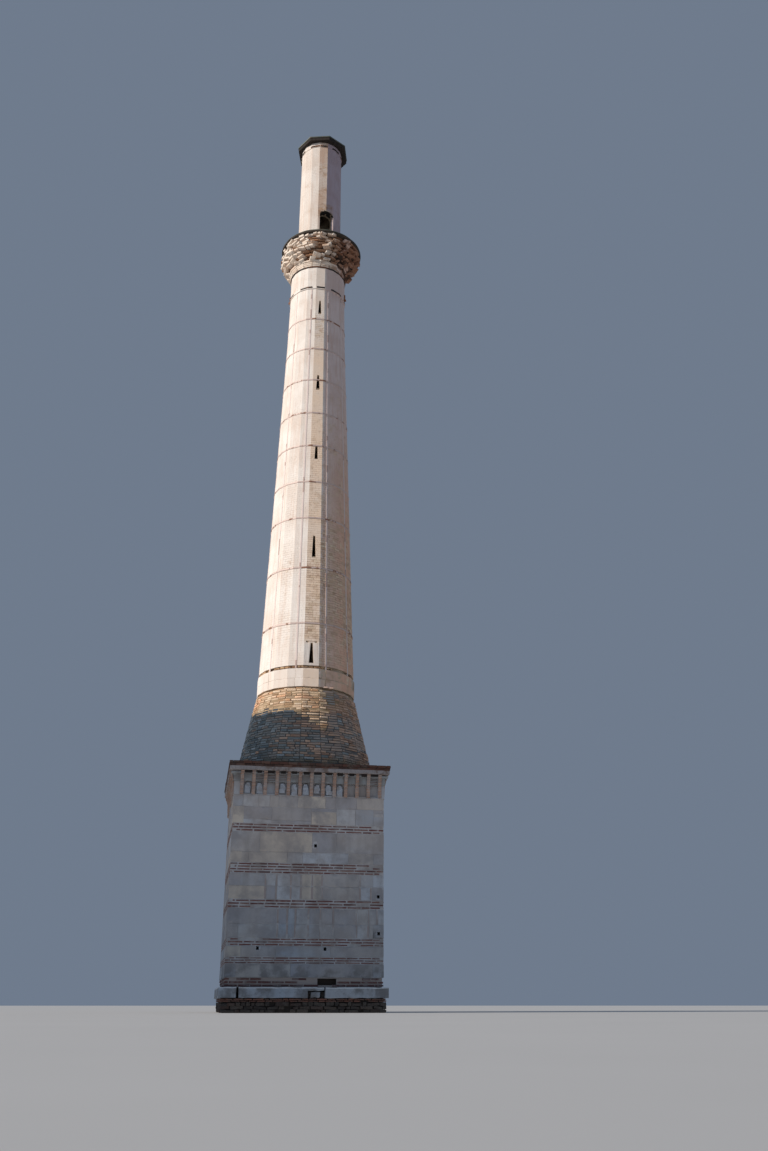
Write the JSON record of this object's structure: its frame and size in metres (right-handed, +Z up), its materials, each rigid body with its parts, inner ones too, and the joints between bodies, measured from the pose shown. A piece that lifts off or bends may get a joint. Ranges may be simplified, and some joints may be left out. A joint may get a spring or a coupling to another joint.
{
  "type": "minaret",
  "caption": "Masonry minaret: square ashlar and brick base, arcaded frieze, tapering faceted shaft with iron hoops, corbelled round balcony, upper drum with doorway, flat cap.",
  "frame": {"origin": "centre of the base's underside, at ground level", "axes": "+Z up, -Y out of the front face with the light slits, +X to the right seen from the front"},
  "size_m": [5.25, 5.25, 35.85],
  "materials": {
    "ashlar": "weathered dressed stone",
    "lime_wash": "worn lime wash over brick",
    "rubble": "rough brick and stone rubble",
    "frieze_brick": "weathered brick and plaster",
    "rough_brick": "rough weathered brickwork",
    "corbel_brick": "broken brick with plaster left on it",
    "red_tile": "fired clay, weathered",
    "rusted_iron": "painted iron with rust",
    "dark_slab": "stained slab edge",
    "cap_boards": "weathered boards",
    "cap_metal": "dull sheet metal"
  },
  "bodies": {
    "root": {"footing": "rubble", "plinth_front_left_block": "ashlar", "plinth_front_long_block": "ashlar", "plinth_front_right_block": "ashlar", "plinth_front_patch_block": "rubble", "plinth_right_side": "ashlar", "plinth_left_side": "ashlar", "plinth_back_side": "ashlar", "front_wall": "ashlar", "right_wall": "ashlar", "back_wall": "ashlar", "left_wall": "ashlar", "front_frieze": "frieze_brick", "right_frieze": "frieze_brick", "back_frieze": "frieze_brick", "left_frieze": "frieze_brick", "cornice_band": "lime_wash", "tile_course": "red_tile", "front_transition": "rough_brick", "right_transition": "rough_brick", "back_transition": "rough_brick", "left_transition": "rough_brick", "foot_ring": "lime_wash", "lower_shaft_front": "lime_wash", "middle_shaft_front": "lime_wash", "lower_shaft_right": "lime_wash", "lower_shaft_back": "lime_wash", "lower_shaft_left": "lime_wash", "upper_shaft_front": "lime_wash", "upper_shaft_right": "lime_wash", "upper_shaft_back": "lime_wash", "upper_shaft_left": "lime_wash", "iron_straps_and_hoops": "rusted_iron", "collar": "lime_wash", "lowest_corbel_tier": "corbel_brick", "second_corbel_tier": "corbel_brick", "third_corbel_tier": "corbel_brick", "top_corbel_tier": "corbel_brick", "balcony_slab": "dark_slab", "drum_door_left_jamb": "lime_wash", "drum_door_right_jamb": "lime_wash", "drum_front_over_door": "lime_wash", "drum_right": "lime_wash", "drum_back": "lime_wash", "drum_left": "lime_wash", "cap_board_deck": "cap_boards", "cap_metal_roof": "cap_metal"}
  },
  "joints": []
}
